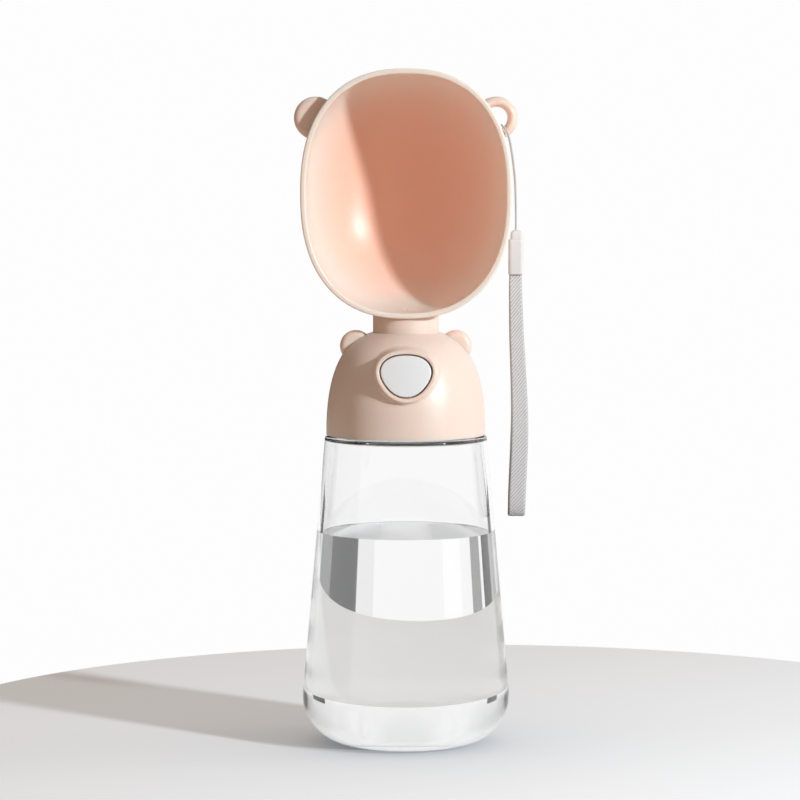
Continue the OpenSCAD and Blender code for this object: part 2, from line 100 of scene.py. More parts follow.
def finishMesh(bm, name, body, slot, *materials, weld=weldDist, sharp=35):
    mesh = meshOf(bm, name, weld)
    mesh.shade_smooth()
    mesh.set_sharp_from_angle(angle=math.radians(sharp))
    return addObject(name, mesh, body, slot, *materials)


def arcPoints(cx, cz, radius, start, end, count):
    steps = [math.radians(start + (end - start) * i / count) for i in range(count + 1)]
    return [(cx + radius * math.cos(a), cz + radius * math.sin(a)) for a in steps]


def linePoints(start, end, count):
    return [tuple(a + (b - a) * i / count for a, b in zip(start, end)) for i in range(1, count)]


# a skin over rings of equal size in mm; its ends can be filled, and heights are kept as an attribute
def gridRings(bm, rings, closeStart=False, closeEnd=False, heights=None):
    rows, count = len(rings) - 1, len(rings[0])
    layer = bm.verts.layers.float.new("height") if heights else None
    verts = bmesh.ops.create_grid(bm, x_segments=rows, y_segments=count, size=1)["verts"]
    for v in verts:
        i, j = round((v.co.x + 1) / 2 * rows), round((v.co.y + 1) / 2 * count)
        v.co = rings[i][j % count] * mm
        if heights:
            v[layer] = heights[i][j % count]
    bmesh.ops.remove_doubles(bm, verts=verts, dist=poleDist)
    ends = []
    if closeStart:
        ends.append(rings[0][0] * mm)
    if closeEnd:
        ends.append(rings[-1][0] * mm)
    for place in ends:
        rim = [e for e in bm.edges if e.is_boundary]
        loop = {min((e.verts[0] for e in rim), key=lambda v: (v.co - place).length)}
        grown = True
        while grown:
            more = {v for e in rim for v in e.verts if e.verts[0] in loop or e.verts[1] in loop} - loop
            loop |= more
            grown = bool(more)
        bmesh.ops.contextual_create(bm, geom=[e for e in rim if e.verts[0] in loop])


# full turn of a profile given as (radius, height) in mm
def spinProfile(bm, points, steps):
    turns = [(math.cos(math.tau * k / steps), math.sin(math.tau * k / steps)) for k in range(steps)]
    gridRings(bm, [[Vector((r * c, r * d, z)) for c, d in turns] for r, z in points])


# a closed profile (radius, height) spun about an axis through a centre, in mm
def spunMesh(profile, steps, centre, axis="Z"):
    bm = bmesh.new()
    spinProfile(bm, profile, steps)
    if axis == "Y":
        bmesh.ops.rotate(bm, verts=bm.verts, cent=(0, 0, 0), matrix=Matrix.Rotation(math.radians(90), 3, "X"))
    bmesh.ops.translate(bm, verts=bm.verts, vec=Vector(centre) * mm)
    return meshOf(bm)


# a mesh after an exact boolean with another
def cutMesh(mesh, cutter, operation="DIFFERENCE"):
    pair = [bpy.data.objects.new("work", m) for m in (mesh, cutter)]
    for o in pair:
        scene.collection.objects.link(o)
    step = pair[0].modifiers.new("cut", "BOOLEAN")
    step.object = pair[1]
    step.operation = operation
    step.solver = "EXACT"
    graph = bpy.context.evaluated_depsgraph_get()
    graph.update()
    out = bpy.data.meshes.new_from_object(pair[0].evaluated_get(graph))
    for o in pair:
        bpy.data.objects.remove(o)
    return out


# looks of the plastic, metal, rubber and cloth parts

# colour, refraction and how much light a shadow lets through
clearSet = {"color": (0.98, 0.982, 0.98), "ior": 1.50, "shadow": (0.86, 0.86, 0.86)}
waterLook = {"color": (1.0, 1.0, 1.0), "ior": 1.333, "shadow": (0.86, 0.86, 0.86)}
# bowl: a paler copy of the cap's pink for the lip and inside of the bowl, painted light
pinkSet = {"bowl": (0.965, 0.84, 0.755), "cap": (0.91, 0.73, 0.635), "deep": (0.93, 0.53, 0.38),
           # deep and the two after it: the painted shade colour at the back of the bowl's hollow, and where
           # that shade starts behind the lip and ends past the back
           "shadeFrom": 17, "shadePast": 3, "rough": 0.37, "grain": 900, "bump": 0.04, "scatter": 0.5,
           "reach": 0.003, "red": (1.0, 0.4, 0.28)}
plasticSet = {"grain": 700, "bump": 0.03, "second": 0.985, "patch": 60}
# the first value keeps this share of the colour in the valleys between ridges, painted shade
weaveSet = {"valleyShade": 0.42, "pitch": 2600, "rough": 0.75, "sheen": 0.15, "bump": 0.35, "depth": 0.00006}
steelSet = {"color": (0.62, 0.63, 0.65), "rough": 0.28, "grain": 400, "bump": 0.1}


def newMaterial(name):
    material = bpy.data.materials.new(name)
    material.use_nodes = True
    tree = material.node_tree
    return material, tree, tree.nodes["Principled BSDF"]


def clearMaterial(name, s):
    material, tree, shader = newMaterial(name)
    shader.inputs["Base Color"].default_value = (*s["color"], 1)
    shader.inputs["Roughness"].default_value = 0.0
    shader.inputs["IOR"].default_value = s["ior"]
    shader.inputs["Transmission Weight"].default_value = 1.0
    output = tree.nodes["Material Output"]
    shadow = tree.nodes.new("ShaderNodeBsdfTransparent")
    shadow.inputs["Color"].default_value = (*s["shadow"], 1)
    ray = tree.nodes.new("ShaderNodeLightPath")
    mix = tree.nodes.new("ShaderNodeMixShader")
    tree.links.new(ray.outputs["Is Shadow Ray"], mix.inputs["Fac"])
    tree.links.new(shader.outputs["BSDF"], mix.inputs[1])
    tree.links.new(shadow.outputs["BSDF"], mix.inputs[2])
    tree.links.new(mix.outputs["Shader"], output.inputs["Surface"])
    return material


# fine bumps on a surface
def addGrain(tree, shader, scale, strength, depth=0.00002):
    place = tree.nodes.new("ShaderNodeTexCoord")
    noise = tree.nodes.new("ShaderNodeTexNoise")
    noise.inputs["Scale"].default_value = scale
    noise.inputs["Detail"].default_value = 3
    bump = tree.nodes.new("ShaderNodeBump")
    bump.inputs["Strength"].default_value = strength
    bump.inputs["Distance"].default_value = depth
    tree.links.new(place.outputs["Object"], noise.inputs["Vector"])
    tree.links.new(noise.outputs["Fac"], bump.inputs["Height"])
    tree.links.new(bump.outputs["Normal"], shader.inputs["Normal"])
    return place


# slow change between two close colours, as the colour
def addTones(tree, shader, vector, scale, first, second):
    noise = tree.nodes.new("ShaderNodeTexNoise")
    noise.inputs["Scale"].default_value = scale
    mix = tree.nodes.new("ShaderNodeMix")
    mix.data_type = "RGBA"
    mix.inputs["A"].default_value = (*first, 1)
    mix.inputs["B"].default_value = (*second, 1)
    tree.links.new(vector, noise.inputs["Vector"])
    tree.links.new(noise.outputs["Fac"], mix.inputs["Factor"])
    tree.links.new(mix.outputs[2], shader.inputs["Base Color"])


def plasticMaterial(name, color, rough, grain=plasticSet["grain"], bump=plasticSet["bump"]):
    material, tree, shader = newMaterial(name)
    shader.inputs["Roughness"].default_value = rough
    place = addGrain(tree, shader, grain, bump)
    addTones(tree, shader, place.outputs["Object"], plasticSet["patch"], color,
             [c * plasticSet["second"] for c in color])
    return material


# soft pink plastic; with a depth span it gets painted shade, darker and redder towards the back of a hollow
def pinkMaterial(name, color, deep=None):
    s = pinkSet
    material = plasticMaterial(name, color, s["rough"], s["grain"], s["bump"])
    tree = material.node_tree
    shader = tree.nodes["Principled BSDF"]
    shader.inputs["Subsurface Weight"].default_value = s["scatter"]
    shader.inputs["Subsurface Radius"].default_value = s["red"]
    shader.inputs["Subsurface Scale"].default_value = s["reach"]
    # painted shade: the colour turns to the deep colour with depth into the hollow
    if deep:
        place = next(n for n in tree.nodes if n.type == "TEX_COORD")
        tones = next(n for n in tree.nodes if n.type == "MIX")
        split = tree.nodes.new("ShaderNodeSeparateXYZ")
        depth = tree.nodes.new("ShaderNodeMapRange")
        depth.interpolation_type = "SMOOTHSTEP"
        depth.inputs["From Min"].default_value = deep[0] * mm
        depth.inputs["From Max"].default_value = deep[1] * mm
        mix = tree.nodes.new("ShaderNodeMix")
        mix.data_type = "RGBA"
        mix.inputs["B"].default_value = (*s["deep"], 1)
        tree.links.new(place.outputs["Object"], split.inputs["Vector"])
        tree.links.new(split.outputs["Y"], depth.inputs["Value"])
        tree.links.new(depth.outputs["Result"], mix.inputs["Factor"])
        tree.links.new(tones.outputs[2], mix.inputs["A"])
        tree.links.new(mix.outputs[2], shader.inputs["Base Color"])
    return material


# thread, with painted shade that darkens it in the valleys between its ridges
def weaveMaterial(name, color):
    material, tree, shader = newMaterial(name)
    shader.inputs["Roughness"].default_value = weaveSet["rough"]
    shader.inputs["Sheen Weight"].default_value = weaveSet["sheen"]
    addGrain(tree, shader, weaveSet["pitch"], weaveSet["bump"], weaveSet["depth"])
    height = tree.nodes.new("ShaderNodeAttribute")
    height.attribute_name = "height"
    mix = tree.nodes.new("ShaderNodeMix")
    mix.data_type = "RGBA"
    mix.inputs["A"].default_value = (*[c * weaveSet["valleyShade"] for c in color], 1)
    mix.inputs["B"].default_value = (*color, 1)
    tree.links.new(height.outputs["Fac"], mix.inputs["Factor"])
    tree.links.new(mix.outputs[2], shader.inputs["Base Color"])
    return material


def steelMaterial(name):
    s = steelSet
    material = plasticMaterial(name, s["color"], s["rough"], s["grain"], s["bump"])
    material.node_tree.nodes["Principled BSDF"].inputs["Metallic"].default_value = 1.0
    return material


cordWeave = weaveMaterial("cordWeave", (0.66, 0.67, 0.665))
webbing = weaveMaterial("webbing", (0.80, 0.80, 0.805))
clear = clearMaterial("clearPlastic", clearSet)
water = clearMaterial("water", waterLook)
capPink = pinkMaterial("capPink", pinkSet["cap"])
white = plasticMaterial("whitePlastic", (0.77, 0.77, 0.765), 0.4)
button = plasticMaterial("buttonPlastic", (0.865, 0.885, 0.895), 0.3)
rubber = plasticMaterial("silicone", (0.80, 0.82, 0.82), 0.6, 300, 0.06)
steel = steelMaterial("stainless")
slotLooks = {"clear_plastic": clear, "pink_plastic": capPink, "white_plastic": white,
             "button_plastic": button, "silicone": rubber, "stainless": steel, "cord": cordWeave,
             "webbing": webbing}
for part in frame["record"]["subparts"]:
    node = nodes[part["node"]]
    node.data.materials.clear()
    node.data.materials.append(slotLooks[part["material_slot"]])
print("looks made")


# lanyard: cord, strap and clamp

cordSet = {"diameter": 0.70, "sides": 14, "step": 0.16, "strands": 3, "lay": 2.6, "relief": 0.13,
           "across": (1, 0, 0.3)}
cordRoute = [
    (40.5, -2.2, 187.0), (40.5, -2.0, 191.0), (40.5, -1.5, 196.0), (40.4, -0.8, 202.0),
    (40.2, 0.0, 208.0), (39.7, 0.7, 213.5), (39.0, 1.1, 219.0), (38.2, 1.2, 223.5),
    (37.3, 1.2, 226.6), (36.2, 1.3, 228.3), (35.5, 0.9, 229.1), (35.2, -0.2, 229.4),
    (35.2, -2.7, 229.4), (35.2, -5.2, 229.4), (35.5, -6.3, 229.1), (36.2, -6.7, 228.3),
    (37.3, -6.6, 226.6), (38.2, -6.6, 223.5), (39.0, -6.5, 219.0), (39.7, -6.1, 213.5),
    (40.2, -5.4, 208.0), (40.4, -4.6, 202.0), (40.5, -3.9, 196.0), (40.5, -3.4, 191.0),
    (40.5, -3.2, 187.0)]
strapSet = {"width": 6.3, "narrow": 4.6, "top": 174.5, "spread": 60, "thick": 0.8, "step": 0.2, "across": 28,
            "pitch": 0.92, "slant": 50, "relief": 0.12, "margin": 0.22, "selvedge": 0.86, "thin": 0.55,
            "soft": 0.7, "selvedgeTone": 0.45, "sideTone": 0.3}
strapRoute = [
    (40.4, -2.2, 174.5), (40.4, -2.2, 173.0), (40.4, -1.5, 168.4), (40.6, -0.5, 160.3),
    (40.9, 0.4, 150.2), (41.4, 1.1, 140.1), (41.8, 1.6, 130.0), (42.0, 1.9, 120.0),
    (41.8, 2.0, 109.9), (41.4, 1.9, 100.3), (41.1, 1.5, 92.7), (41.0, 0.6, 88.3),
    (40.9, -0.9, 85.9), (40.9, -2.7, 85.3), (40.9, -4.5, 85.9), (41.0, -6.0, 88.3),
    (41.1, -6.9, 92.7), (41.4, -7.3, 100.3), (41.8, -7.4, 109.9), (42.0, -7.3, 120.0),
    (41.8, -7.0, 130.0), (41.4, -6.5, 140.1), (40.9, -5.8, 150.2), (40.6, -4.9, 160.3),
    (40.4, -3.9, 168.4), (40.4, -3.2, 173.0), (40.4, -3.2, 174.5)]


# a smooth curve through a route's points, at even steps, and its length
def smoothRoute(route, step):
    points = [Vector(p) for p in route]
    fine, parts = [], 24
    for i, (b, c) in enumerate(zip(points, points[1:])):
        a = points[max(i - 1, 0)]
        d = points[min(i + 2, len(points) - 1)]
        for k in range(parts):
            t = k / parts
            fine.append(0.5 * (2 * b + (c - a) * t + (2 * a - 5 * b + 4 * c - d) * t * t
                               + (3 * b - a - 3 * c + d) * t ** 3))
    fine.append(points[-1])
    total = sum((q - p).length for p, q in zip(fine, fine[1:]))
    count = round(total / step)
    even, walked, i = [fine[0]], 0.0, 0
    for k in range(1, count):
        want = total * k / count
        while walked + (fine[i + 1] - fine[i]).length < want:
            walked += (fine[i + 1] - fine[i]).length
            i += 1
        t = (want - walked) / (fine[i + 1] - fine[i]).length
        even.append(fine[i].lerp(fine[i + 1], t))
    even.append(fine[-1])
    return even, total


# a closed skin along points; section gives a ring's places about a point, and their heights
def sweepRoute(bm, points, across, section):
    rings, heights = [], []
    for i, centre in enumerate(points):
        heading = (points[min(i + 1, len(points) - 1)] - points[max(i - 1, 0)]).normalized()
        side = (across - heading * across.dot(heading)).normalized()
        up = heading.cross(side)
        places, levels = section(i, side, up)
        rings.append([centre + place for place in places])
        heights.append(levels)
    gridRings(bm, rings, True, True, heights)


def makeCord(material):
    s = cordSet
    points, total = smoothRoute(cordRoute, s["step"])
    radius = s["diameter"] / 2

    def section(i, side, up):
        turn = math.tau * i * s["step"] / s["lay"]
        places, levels = [], []
        for k in range(s["sides"]):
            a = math.tau * k / s["sides"]
            lobe = abs(math.sin(s["strands"] * (a - turn) / 2))
            reach = radius * (1 - s["relief"] * (1 - lobe) * 2)
            places.append((side * math.cos(a) + up * math.sin(a)) * reach)
            # the lobe also sets the weave's painted shade, darkest between the strands
            levels.append(lobe)
        return places, levels

    bm = bmesh.new()
    sweepRoute(bm, points, Vector(s["across"]), section)
    made = finishMesh(bm, "lanyardCord", "lanyard_body", "cord", material, weld=0, sharp=60)
    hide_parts("lanyard_cord")


def makeStrap(material):
    s = strapSet
    points, total = smoothRoute(strapRoute, s["step"])
    half = s["thick"] / 2
    lift = math.tan(math.radians(s["slant"]))
    vertical = s["pitch"] / math.cos(math.radians(s["slant"]))

    def section(i, side, up):
        walked = total * i / (len(points) - 1)
        drop = max(0, min(1, (s["top"] - points[i].z) / s["spread"]))
        width = s["narrow"] + (s["width"] - s["narrow"]) * drop
        places, levels, n = [], [], s["across"]
        core = half - s["relief"]
        for face in (1, -1):
            for k in range(n + 1):
                u = (k / n * 2 - 1) * face
                x = u * (width / 2 - s["margin"])
                edge = max(0, (abs(u) - s["selvedge"]) / (1 - s["selvedge"]))
                phase = (walked * face + x * lift) / vertical
                ridge = math.sin(math.pi * (phase - math.floor(phase))) ** s["soft"]
                h = core * math.sqrt(max(0, 1 - s["thin"] * edge * edge)) + s["relief"] * ridge * (1 - edge)
                places.append(side * x + up * h * face)
                # levels for the weave's painted shade: darkest in the valleys, part shade on the selvedge and
                # on the sides
                levels.append(ridge * (1 - edge) + s["selvedgeTone"] * edge)
            places.append(side * (width / 2) * face)
            levels.append(s["sideTone"])
        return places, levels

    bm = bmesh.new()
    sweepRoute(bm, points, Vector((1, 0, 0)), section)
    made = finishMesh(bm, "lanyardStrap", "lanyard_body", "webbing", material, weld=0, sharp=60)
    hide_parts("lanyard_strap")


crimpSet = {"x": 40.5, "y": -2.7, "low": 174.5, "high": 190.8, "w": 5.5, "t": 4.0, "corner": 1.2,
            "round": 1.9, "step": 187.4, "stepIn": 0.7, "stepSoft": 0.15, "stepBevel": 0.1,
            "stepRise": 0.02, "bend": 1.2, "hem": 2, "mouth": 1.4, "wall": 0.45, "edge": 0.2,
            "cornerRows": 8, "topRows": 12, "taper": 0.9, "flatten": 0.8}


# a folded end clamp, open below where the strap goes in, its fold ending below the top
def makeCrimp(material):
    s = crimpSet

    def ring(inset, z, narrow=0.0, shift=0.0):
        w = s["w"] / 2 - inset - narrow - shift / 2
        t = s["t"] / 2 - inset - narrow * s["flatten"]
        r = max(s["edge"], min(s["corner"], t - s["edge"]) - inset)
        corner = []
        centres = ((w - r, t - r, 0), (r - w, t - r, 90), (r - w, r - t, 180), (w - r, r - t, 270))
        for cx, cy, start in centres:
            for k in range(s["cornerRows"] + 1):
                a = math.radians(start + 90 * k / s["cornerRows"])
                x = s["x"] + shift / 2 + cx + r * math.cos(a)
                corner.append(Vector((x, s["y"] + cy + r * math.sin(a), z)))
        return corner

    low, wall, edge, step = s["low"], s["wall"], s["edge"], s["step"]
    rings = [ring(wall, low + s["mouth"]), ring(wall, low + edge), ring(wall - edge, low), ring(edge, low),
             ring(0, low + edge), ring(0, low + s["hem"]), ring(0, step - s["bend"]),
             ring(0, step - s["stepSoft"]), ring(s["stepBevel"], step),
             ring(0, step + s["stepRise"], 0, s["stepIn"])]
    top = s["high"] - s["round"]
    rings.append(ring(0, top, 0, s["stepIn"]))
    for k in range(1, s["topRows"] + 1):
        a = math.radians(90 * k / s["topRows"])
        narrow = s["round"] * (1 - math.cos(a)) * s["taper"]
        rings.append(ring(0, top + s["round"] * math.sin(a), narrow, s["stepIn"]))
    bm = bmesh.new()
    gridRings(bm, rings, closeStart=True, closeEnd=True)
    made = finishMesh(bm, "cordClamp", "lanyard_body", "white_plastic", material)
    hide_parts("lanyard_crimp")


makeCord(cordWeave)
makeStrap(webbing)
makeCrimp(white)
print("lanyard made")


# table, light and world

tableSet = {"x": 0.026, "y": 0.034, "radius": 0.2193, "front": 1.35, "thick": 0.018, "steps": 256,
            "color": (0.80, 0.80, 0.80), "seen": (1.28, 1.31, 1.345)}
lampSet = {
    "key": {"azimuth": 48.4, "elevation": 20, "distance": 1.6, "size": 0.11, "strength": 0.83,
            "target": 0.13, "color": (0.93, 1.0, 1.06), "mirrored": True},
    "rightFill": {"azimuth": 98, "elevation": 10, "distance": 1.3, "size": 0.5, "strength": 0.12,
                  "target": 0.15, "color": (1.0, 1.0, 1.0), "mirrored": False},
    "leftFill": {"azimuth": -74, "elevation": 14, "distance": 1.3, "size": 0.6, "strength": 0.04,
                 "target": 0.18, "color": (1.0, 0.78, 0.64), "mirrored": False}}
worldSet = {"above": (0.25, 0.215, 0.185), "below": (0.36, 0.22, 0.145), "soft": 0.15, "front": 1.05,
            "rear": 1.15, "seen": (0.985, 0.985, 0.985)}
# heights of the screens: two bands seen through the bottle, and one mirrored by the glossy parts
bandSet = {"water": (-0.4, -0.094), "base": (-0.09, 0.02), "mirror": (-0.02, 1.0)}
# where each screen starts and ends, in degrees from straight behind, then its band and its tone
screenSet = {"screenRight": (15.5, 31, "water", 0.11),
             "screenRightOuter": (31, 45, "water", 0.33),
             "screenRightInner": (9.5, 15.5, "water", 0.86),
             "screenLeft": (-23.5, -30, "water", 0.30),
             "screenLeftDark": (-32.5, -42, "water", 0.0),
             "screenLeftOuter": (-42, -52, "water", 0.45),
             "screenPale": (-11, -18, "water", 1.06),
             "edgeRight": (29, 41, "base", 0.02),
             "edgeLeft": (-29, -38, "base", 0.10),
             "flagLeft": (-9, -60, "mirror", 0.03),
             "flagSide": (-60, -115, "mirror", 0.03)}
screenDistance = 1.5


# 1 for a ray seen directly, mirrored or through glass, and 0 once it lights a dull surface
def seenRay(tree):
    ray = tree.nodes.new("ShaderNodeLightPath")
    value = ray.outputs["Is Camera Ray"]
    for name in ("Is Glossy Ray", "Is Transmission Ray"):
        either = tree.nodes.new("ShaderNodeMath")
        either.operation = "MAXIMUM"
        tree.links.new(value, either.inputs[0])
        tree.links.new(ray.outputs[name], either.inputs[1])
        value = either.outputs["Value"]
    first = tree.nodes.new("ShaderNodeMath")
    first.operation = "LESS_THAN"
    first.inputs[1].default_value = 0.5
    tree.links.new(ray.outputs["Diffuse Depth"], first.inputs[0])
    both = tree.nodes.new("ShaderNodeMath")
    both.operation = "MULTIPLY"
    tree.links.new(value, both.inputs[0])
    tree.links.new(first.outputs["Value"], both.inputs[1])
    return both.outputs["Value"]


def makeTable():
    s = tableSet
    material, tree, shader = newMaterial("tableTop")
    tree.nodes.remove(shader)
    diffuse = tree.nodes.new("ShaderNodeBsdfDiffuse")
    tone = tree.nodes.new("ShaderNodeMix")
    tone.data_type = "RGBA"
    tone.inputs["A"].default_value = (*s["color"], 1)
    tone.inputs["B"].default_value = (*s["seen"], 1)
    tree.links.new(seenRay(tree), tone.inputs["Factor"])
    tree.links.new(tone.outputs[2], diffuse.inputs["Color"])
    tree.links.new(diffuse.outputs["BSDF"], tree.nodes["Material Output"].inputs["Surface"])
    bm = bmesh.new()
    bmesh.ops.create_cone(bm, cap_ends=True, segments=s["steps"], radius1=s["radius"],
                          radius2=s["radius"], depth=s["thick"])
    nearHalf = [v for v in bm.verts if v.co.y < 0]
    bmesh.ops.scale(bm, verts=nearHalf, vec=(1, s["front"], 1))
    bmesh.ops.translate(bm, verts=bm.verts, vec=(s["x"], s["y"], -s["thick"] / 2))
    mesh = bpy.data.meshes.new("table")
    bm.to_mesh(mesh)
    bm.free()
    addObject("table", mesh, None, None, material)


# a round lamp that gives its strength on a surface that faces it, whatever its distance
def makeLamp(name, s):
    a, e = math.radians(s["azimuth"]), math.radians(s["elevation"])
    toLight = Vector((math.sin(a) * math.cos(e), -math.cos(a) * math.cos(e), math.sin(e)))
    data = bpy.data.lights.new(name, "AREA")
    data.shape = "DISK"
    data.size = s["size"]
    data.energy = s["strength"] * (math.pi * s["distance"]) ** 2
    data.color = s["color"]
    light = bpy.data.objects.new(name, data)
    scene.collection.objects.link(light)
    light.location = Vector((0, 0, s["target"])) + toLight * s["distance"]
    light.rotation_euler = toLight.to_track_quat("Z", "Y").to_euler()
    light.visible_glossy = s["mirrored"]
    light.visible_transmission = False


# panels of one tone round the object, each seen either through the clear parts or mirrored by the others
def makeScreens():
    for name, (start, end, band, tone) in screenSet.items():
        low, high = bandSet[band]
        material, tree, shader = newMaterial(name)
        tree.nodes.remove(shader)
        glow = tree.nodes.new("ShaderNodeEmission")
        glow.inputs["Color"].default_value = (tone, tone, tone, 1)
        tree.links.new(glow.outputs["Emission"], tree.nodes["Material Output"].inputs["Surface"])
        bm = bmesh.new()
        panel = bmesh.ops.create_grid(bm, x_segments=6, y_segments=1, size=1)["verts"]
        for v in panel:
            a = math.radians(start + (end - start) * (v.co.x + 1) / 2)
            v.co = (screenDistance * math.sin(a), screenDistance * math.cos(a), low if v.co.y < 0 else high)
        mesh = bpy.data.meshes.new(name)
        bm.to_mesh(mesh)
        bm.free()
        screen = addObject(name, mesh, None, None, material)
        screen.visible_camera = False
        screen.visible_diffuse = False
        screen.visible_shadow = False
        screen.visible_glossy = band == "mirror"
        screen.visible_transmission = band != "mirror"


# neutral light from above and warm bounce from below, with a white background that is only seen
def makeWorld():
    s = worldSet
    world = bpy.data.worlds.new("studio")
    scene.world = world
    world.use_nodes = True
    tree = world.node_tree
    fill = tree.nodes["Background"]
    place = tree.nodes.new("ShaderNodeTexCoord")
    split = tree.nodes.new("ShaderNodeSeparateXYZ")
    height = tree.nodes.new("ShaderNodeMapRange")
    height.inputs["From Min"].default_value = -s["soft"]
    height.inputs["From Max"].default_value = s["soft"]
    tone = tree.nodes.new("ShaderNodeMix")
    tone.data_type = "RGBA"
    tone.inputs["A"].default_value = (*s["below"], 1)
    tone.inputs["B"].default_value = (*s["above"], 1)
    back = tree.nodes.new("ShaderNodeBackground")
    back.inputs["Color"].default_value = (*s["seen"], 1)
    mix = tree.nodes.new("ShaderNodeMixShader")
    tree.links.new(place.outputs["Generated"], split.inputs["Vector"])
    tree.links.new(split.outputs["Z"], height.inputs["Value"])
    tree.links.new(height.outputs["Result"], tone.inputs["Factor"])
    front = tree.nodes.new("ShaderNodeMapRange")
    front.inputs["From Min"].default_value = -1.0
    front.inputs["To Min"].default_value = s["front"]
    front.inputs["To Max"].default_value = s["rear"]
    tree.links.new(split.outputs["Y"], front.inputs["Value"])
    tree.links.new(front.outputs["Result"], fill.inputs["Strength"])
    tree.links.new(tone.outputs[2], fill.inputs["Color"])
    tree.links.new(seenRay(tree), mix.inputs["Fac"])
    tree.links.new(fill.outputs["Background"], mix.inputs[1])
    tree.links.new(back.outputs["Background"], mix.inputs[2])
    tree.links.new(mix.outputs["Shader"], tree.nodes["World Output"].inputs["Surface"])


makeTable()
for name, settings in lampSet.items():
    makeLamp(name, settings)
makeScreens()
makeWorld()
print("stage made")


# bottle and water

bottleSet = {"radius": 38.4, "shoulderRadius": 30.1, "shoulder": 114.8, "round": 18, "wall": 2.2,
             "floor": 5.0, "innerRound": 15, "neck": 22.8, "neckHeight": 10.8, "punt": 1.2, "puntIn": 2,
             "topRound": 1.2, "neckFoot": 0.8, "mouthRound": 0.6, "boreEdge": 0.5, "shoulderThick": 1.4,
             "innerCorner": 1.0, "lean": 10, "sideStop": 1, "puntRows": (0, 0.2, 0.4, 0.6, 0.8, 0.93, 1),
             "floorRows": 6, "footRows": 32, "innerRows": 28, "sideRows": 20, "steps": 256}
threadSet = {"z": 119.2, "pitch": 4, "turns": 0.94, "root": 1.6, "crest": 0.8, "high": 1.2, "sunk": 0.3,
             "steps": 96, "fade": 9}
waterSet = {"level": 79.0, "overlap": 0.04, "meniscus": 0.3, "reach": 3.2, "fall": 0.9, "rows": 14,
            "sideRows": 16, "middleRows": 6}


# inner wall from the middle of the floor to the straight side, and the side's tilt in degrees
def bottleInner(s, grow=0.0):
    tilt = math.degrees(math.atan((s["radius"] - s["shoulderRadius"]) / (s["shoulder"] - s["round"])))
    cx = s["radius"] - s["wall"] - s["innerRound"]
    cz = s["floor"] + s["innerRound"]
    low = s["floor"] - grow
    floorLine = [(0, low)] + linePoints((0, low), (cx, low), s["floorRows"])
    return floorLine + arcPoints(cx, cz, s["innerRound"] + grow, -90, tilt, s["innerRows"]), tilt


# the screw thread, fading out at both ends
def threadRidge(s):
    t = threadSet
    rings = []
    for i in range(t["steps"] + 1):
        a = math.tau * t["turns"] * i / t["steps"]
        z = t["z"] + t["pitch"] * t["turns"] * i / t["steps"]
        rise = min(1, (i + 0.2) / t["fade"], (t["steps"] - i + 0.2) / t["fade"])
        root = s["neck"] - t["sunk"]
        top = root + (t["high"] + t["sunk"]) * rise
        foot, crest = t["root"] / 2, t["crest"] / 2
        section = [(root, -foot), (top, -crest), (top, crest), (root, foot)]
        rings.append([Vector((r * math.cos(a), r * math.sin(a), z + h)) for r, h in section])
    bm = bmesh.new()
    gridRings(bm, rings, closeStart=True, closeEnd=True)
    return meshOf(bm)


def makeBottle(material):
    s = bottleSet
    inner, tilt = bottleInner(s)
    foot = s["radius"] - s["round"]
    topRadius = s["radius"] - (s["shoulder"] - s["round"]) * math.tan(math.radians(tilt))
    puntRadius = foot - s["puntIn"]
    punt = [(puntRadius * t, s["punt"] * (1 - t * t)) for t in s["puntRows"]]
    outer = punt + arcPoints(foot, s["round"], s["round"], -90, tilt, s["footRows"])
    top, lean = s["topRound"], s["lean"]
    sideEnd = (topRadius - top + top * math.cos(math.radians(lean)), s["shoulder"] - s["sideStop"])
    outer += linePoints(outer[-1], sideEnd, s["sideRows"])
    outer += arcPoints(topRadius - top, s["shoulder"] - top, top, lean, 90, 6)
    mouth = s["shoulder"] + s["neckHeight"]
    bore = s["neck"] - s["wall"]
    outer += [(s["neck"] + s["neckFoot"], s["shoulder"]), (s["neck"], s["shoulder"] + s["neckFoot"])]
    edge = s["mouthRound"]
    outer += arcPoints(s["neck"] - edge, mouth - edge, edge, 0, 90, 4)
    outer += arcPoints(bore + edge, mouth - edge, edge, 90, 180, 4)
    ceiling, corner = s["shoulder"] - s["shoulderThick"], s["innerCorner"]
    under = arcPoints(topRadius - s["wall"] - corner, ceiling - corner, corner, 90, lean, 8)
    down = [(bore, ceiling + s["boreEdge"]), (bore + s["boreEdge"], ceiling)] + under
    down += linePoints(under[-1], inner[-1], s["sideRows"])
    bm = bmesh.new()
    spinProfile(bm, outer + down + inner[::-1], s["steps"])
    joined = cutMesh(meshOf(bm), threadRidge(s), "UNION")
    bm = bmesh.new()
    bm.from_mesh(joined)
    made = finishMesh(bm, "clearBottle", "bottle_body", "clear_plastic", material)
    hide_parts("bottle")


def makeWater(material):
    s = bottleSet
    w = waterSet
    inner, tilt = bottleInner(s, w["overlap"])
    low = inner[-1]
    slope = math.tan(math.radians(tilt))
    rim = w["level"] + w["meniscus"]
    edge = low[0] - (rim - low[1]) * slope
    wallLine = linePoints(low, (edge, rim), w["sideRows"]) + [(edge, rim)]
    reach = w["reach"]
    top = []
    for i in range(1, w["rows"] + 1):
        d = reach * i / w["rows"]
        top.append((edge - d, w["level"] + w["meniscus"] * math.exp(-d / w["fall"]) * (1 - d / reach)))
    top += linePoints(top[-1], (0, w["level"]), w["middleRows"]) + [(0, w["level"])]
    bm = bmesh.new()
    spinProfile(bm, inner + wallLine + top, s["steps"])
    finishMesh(bm, "water", "bottle_body", None, material)


makeBottle(clear)
makeWater(water)
print("bottle made")


# bowl

